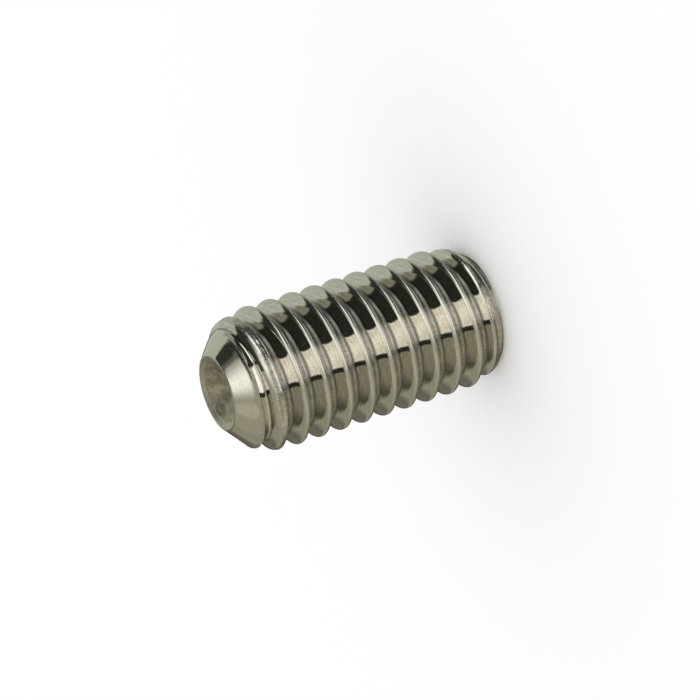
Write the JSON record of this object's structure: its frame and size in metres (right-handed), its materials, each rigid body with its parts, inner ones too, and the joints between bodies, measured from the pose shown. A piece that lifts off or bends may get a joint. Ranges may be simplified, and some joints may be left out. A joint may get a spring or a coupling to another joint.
{
  "type": "socket set screw",
  "caption": "Headless stainless grub screw, threaded from end to end, with a cup point and a hexagonal drive socket.",
  "frame": {"origin": "centre of the flat drive face, on the screw's axis", "axes": "+Z along the axis from the drive face to the cup point; +X through a corner of the hex socket"},
  "size_m": [0.006, 0.006, 0.012],
  "materials": {
    "stainless_steel": "bright rolled thread, with a finely matt point and cup"
  },
  "bodies": {
    "root": {"set_screw": "stainless_steel"}
  },
  "joints": []
}
